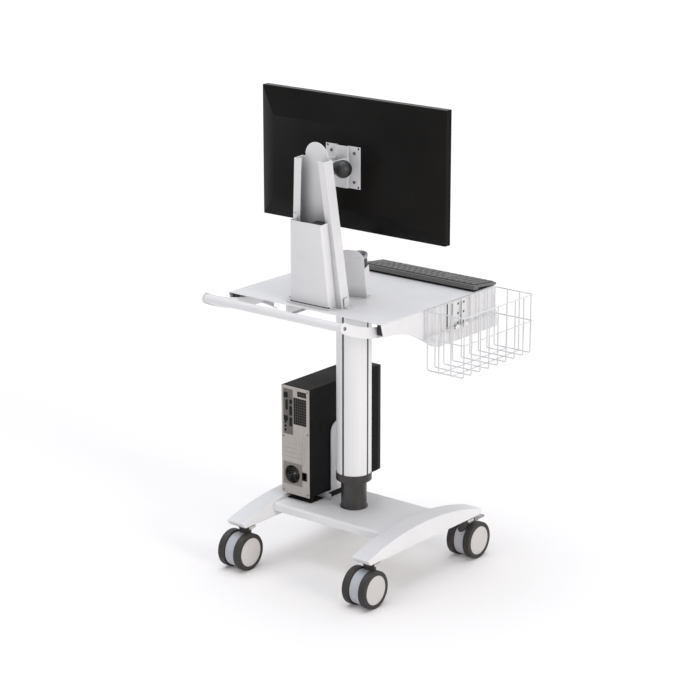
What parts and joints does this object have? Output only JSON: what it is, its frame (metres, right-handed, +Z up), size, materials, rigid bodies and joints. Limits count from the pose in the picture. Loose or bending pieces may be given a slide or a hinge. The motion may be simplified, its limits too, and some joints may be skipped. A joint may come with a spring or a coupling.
{
  "type": "mobile workstation and medication cart",
  "caption": "Mobile medication workstation cart with a height-adjustable column, monitor mast, push handle, keyboard, wire basket and a desktop computer on its caster base.",
  "frame": {"origin": "centre of the outer box on the floor, at rest with the work surface at its lowest height", "axes": "+Z up, +Y from the user towards the push handle, +X to the user's right with the computer on +X and the wire basket on -X"},
  "size_m": [0.6816, 0.634, 1.2684],
  "materials": {
    "white_paint": "satin white powder coat",
    "white_casting": "satin white powder coat on a casting or extrusion",
    "wire_coat": "light grey coated wire",
    "dark_tube": "satin dark grey paint",
    "bare_steel": "plain plated steel sheet",
    "black_cover": "fine-textured black paint",
    "black_plastic": "satin black",
    "key_plastic": "matte dark grey",
    "grey_plastic": "matte light grey",
    "dark_plastic": "matte dark grey",
    "screen": "dark, switched off",
    "tyre_rubber": "dark grey tread"
  },
  "bodies": {
    "base": {"leg_left": "white_casting", "leg_right": "white_casting", "deck": "white_casting", "lower_column": "dark_tube", "upper_guide": "grey_plastic", "gas_cylinder": "dark_tube", "pc_holder": "white_paint", "pc_chassis": "bare_steel", "pc_cover": "black_cover", "pc_front_bezel": "black_plastic", "pc_power_supply": "bare_steel"},
    "lift": {"gas_rod": "bare_steel", "upper_column": "white_casting", "column_collar": "dark_plastic", "column_head": "white_paint", "work_surface": "white_paint", "skirt_left": "white_paint", "skirt_right": "white_paint", "accessory_plate": "white_paint", "basket": "wire_coat", "handle_bar": "white_paint", "handle_arm_left": "white_paint", "handle_arm_right": "white_paint", "mast": "white_paint", "rear_bin": "white_paint", "power_pack": "black_plastic", "tilt_arm": "white_paint", "scanner_stand": "white_paint", "scanner_cup": "dark_plastic", "keyboard_base": "black_plastic", "keyboard_feet": "black_plastic"},
    "lever": {"release_lever": "dark_plastic"},
    "monitor": {"vesa_plate": "white_paint", "vesa_screws": "black_plastic", "monitor_back": "black_plastic", "monitor_bezel": "black_plastic", "screen_panel": "screen"},
    "knob": {"tilt_knob": "black_plastic"},
    "keys": {"letter_keys": "key_plastic"},
    "space": {"space_row": "key_plastic"},
    "fan": {"pc_fan": "black_plastic"},
    "power_button": {"pc_power_button": "grey_plastic"},
    "caster_fl": {"caster_body_fl": "grey_plastic"},
    "wheels_fl": {"caster_tyres_fl": "tyre_rubber", "caster_hubs_fl": "grey_plastic", "caster_axle_fl": "bare_steel"},
    "pedal_fl": {"brake_pedal_fl": "black_plastic"},
    "caster_fr": {"caster_body_fr": "grey_plastic"},
    "wheels_fr": {"caster_tyres_fr": "tyre_rubber", "caster_hubs_fr": "grey_plastic", "caster_axle_fr": "bare_steel"},
    "pedal_fr": {"brake_pedal_fr": "black_plastic"},
    "caster_rl": {"caster_body_rl": "grey_plastic"},
    "wheels_rl": {"caster_tyres_rl": "tyre_rubber", "caster_hubs_rl": "grey_plastic", "caster_axle_rl": "bare_steel"},
    "caster_rr": {"caster_body_rr": "grey_plastic"},
    "wheels_rr": {"caster_tyres_rr": "tyre_rubber", "caster_hubs_rr": "grey_plastic", "caster_axle_rr": "bare_steel"}
  },
  "joints": [
    {"name": "column_lift", "type": "slide", "parent": "base", "child": "lift", "axis": [0, 0, 1], "range_m": [0, 0.38]},
    {"name": "lever_pull", "type": "hinge", "parent": "lift", "child": "lever", "pos_m": [0.04133, -0.098, 0.732], "axis": [-1, 0, 0], "range_deg": [0, 3], "stiffness_Nm_per_rad": 1, "springref_deg": -2.86},
    {"name": "monitor_tilt", "type": "hinge", "parent": "lift", "child": "monitor", "pos_m": [0.04133, 0.07978, 1.10241], "axis": [-1, 0, 0], "range_deg": [-5, 20]},
    {"name": "knob_turn", "type": "hinge", "parent": "lift", "child": "knob", "pos_m": [0.04133, 0.07978, 1.10241], "axis": [1, 0, 0], "range_deg": [-180, 180]},
    {"name": "letter_keys_press", "type": "slide", "parent": "lift", "child": "keys", "axis": [0, 0.1045, -0.9945], "range_m": [0, 0.003], "stiffness_N_per_m": 400, "springref_m": -0.004},
    {"name": "space_row_press", "type": "slide", "parent": "lift", "child": "space", "axis": [0, 0.1045, -0.9945], "range_m": [0, 0.003], "stiffness_N_per_m": 120, "springref_m": -0.004},
    {"name": "fan_spin", "type": "hinge", "parent": "base", "child": "fan", "pos_m": [0.19333, 0.0405, 0.236], "axis": [0, 1, 0], "continuous": true},
    {"name": "power_button_press", "type": "slide", "parent": "base", "child": "power_button", "axis": [0, 1, 0], "range_m": [0, 0.002], "stiffness_N_per_m": 300, "springref_m": -0.001},
    {"name": "caster_swivel_fl", "type": "hinge", "parent": "base", "child": "caster_fl", "pos_m": [0.25333, -0.2295, 0.1175], "axis": [0, 0, 1], "continuous": true},
    {"name": "wheel_spin_fl", "type": "hinge", "parent": "caster_fl", "child": "wheels_fl", "pos_m": [0.25333, -0.2515, 0.0508], "axis": [1, 0, 0], "continuous": true},
    {"name": "brake_press_fl", "type": "hinge", "parent": "caster_fl", "child": "pedal_fl", "pos_m": [0.25333, -0.2705, 0.1008], "axis": [1, 0, 0], "range_deg": [0, 12]},
    {"name": "caster_swivel_fr", "type": "hinge", "parent": "base", "child": "caster_fr", "pos_m": [-0.17067, -0.2295, 0.1175], "axis": [0, 0, 1], "continuous": true},
    {"name": "wheel_spin_fr", "type": "hinge", "parent": "caster_fr", "child": "wheels_fr", "pos_m": [-0.17067, -0.2515, 0.0508], "axis": [1, 0, 0], "continuous": true},
    {"name": "brake_press_fr", "type": "hinge", "parent": "caster_fr", "child": "pedal_fr", "pos_m": [-0.17067, -0.2705, 0.1008], "axis": [1, 0, 0], "range_deg": [0, 12]},
    {"name": "caster_swivel_rl", "type": "hinge", "parent": "base", "child": "caster_rl", "pos_m": [0.25333, 0.1785, 0.1175], "axis": [0, 0, 1], "continuous": true},
    {"name": "wheel_spin_rl", "type": "hinge", "parent": "caster_rl", "child": "wheels_rl", "pos_m": [0.25333, 0.2005, 0.0508], "axis": [1, 0, 0], "continuous": true},
    {"name": "caster_swivel_rr", "type": "hinge", "parent": "base", "child": "caster_rr", "pos_m": [-0.17067, 0.1785, 0.1175], "axis": [0, 0, 1], "continuous": true},
    {"name": "wheel_spin_rr", "type": "hinge", "parent": "caster_rr", "child": "wheels_rr", "pos_m": [-0.17067, 0.2005, 0.0508], "axis": [1, 0, 0], "continuous": true}
  ]
}
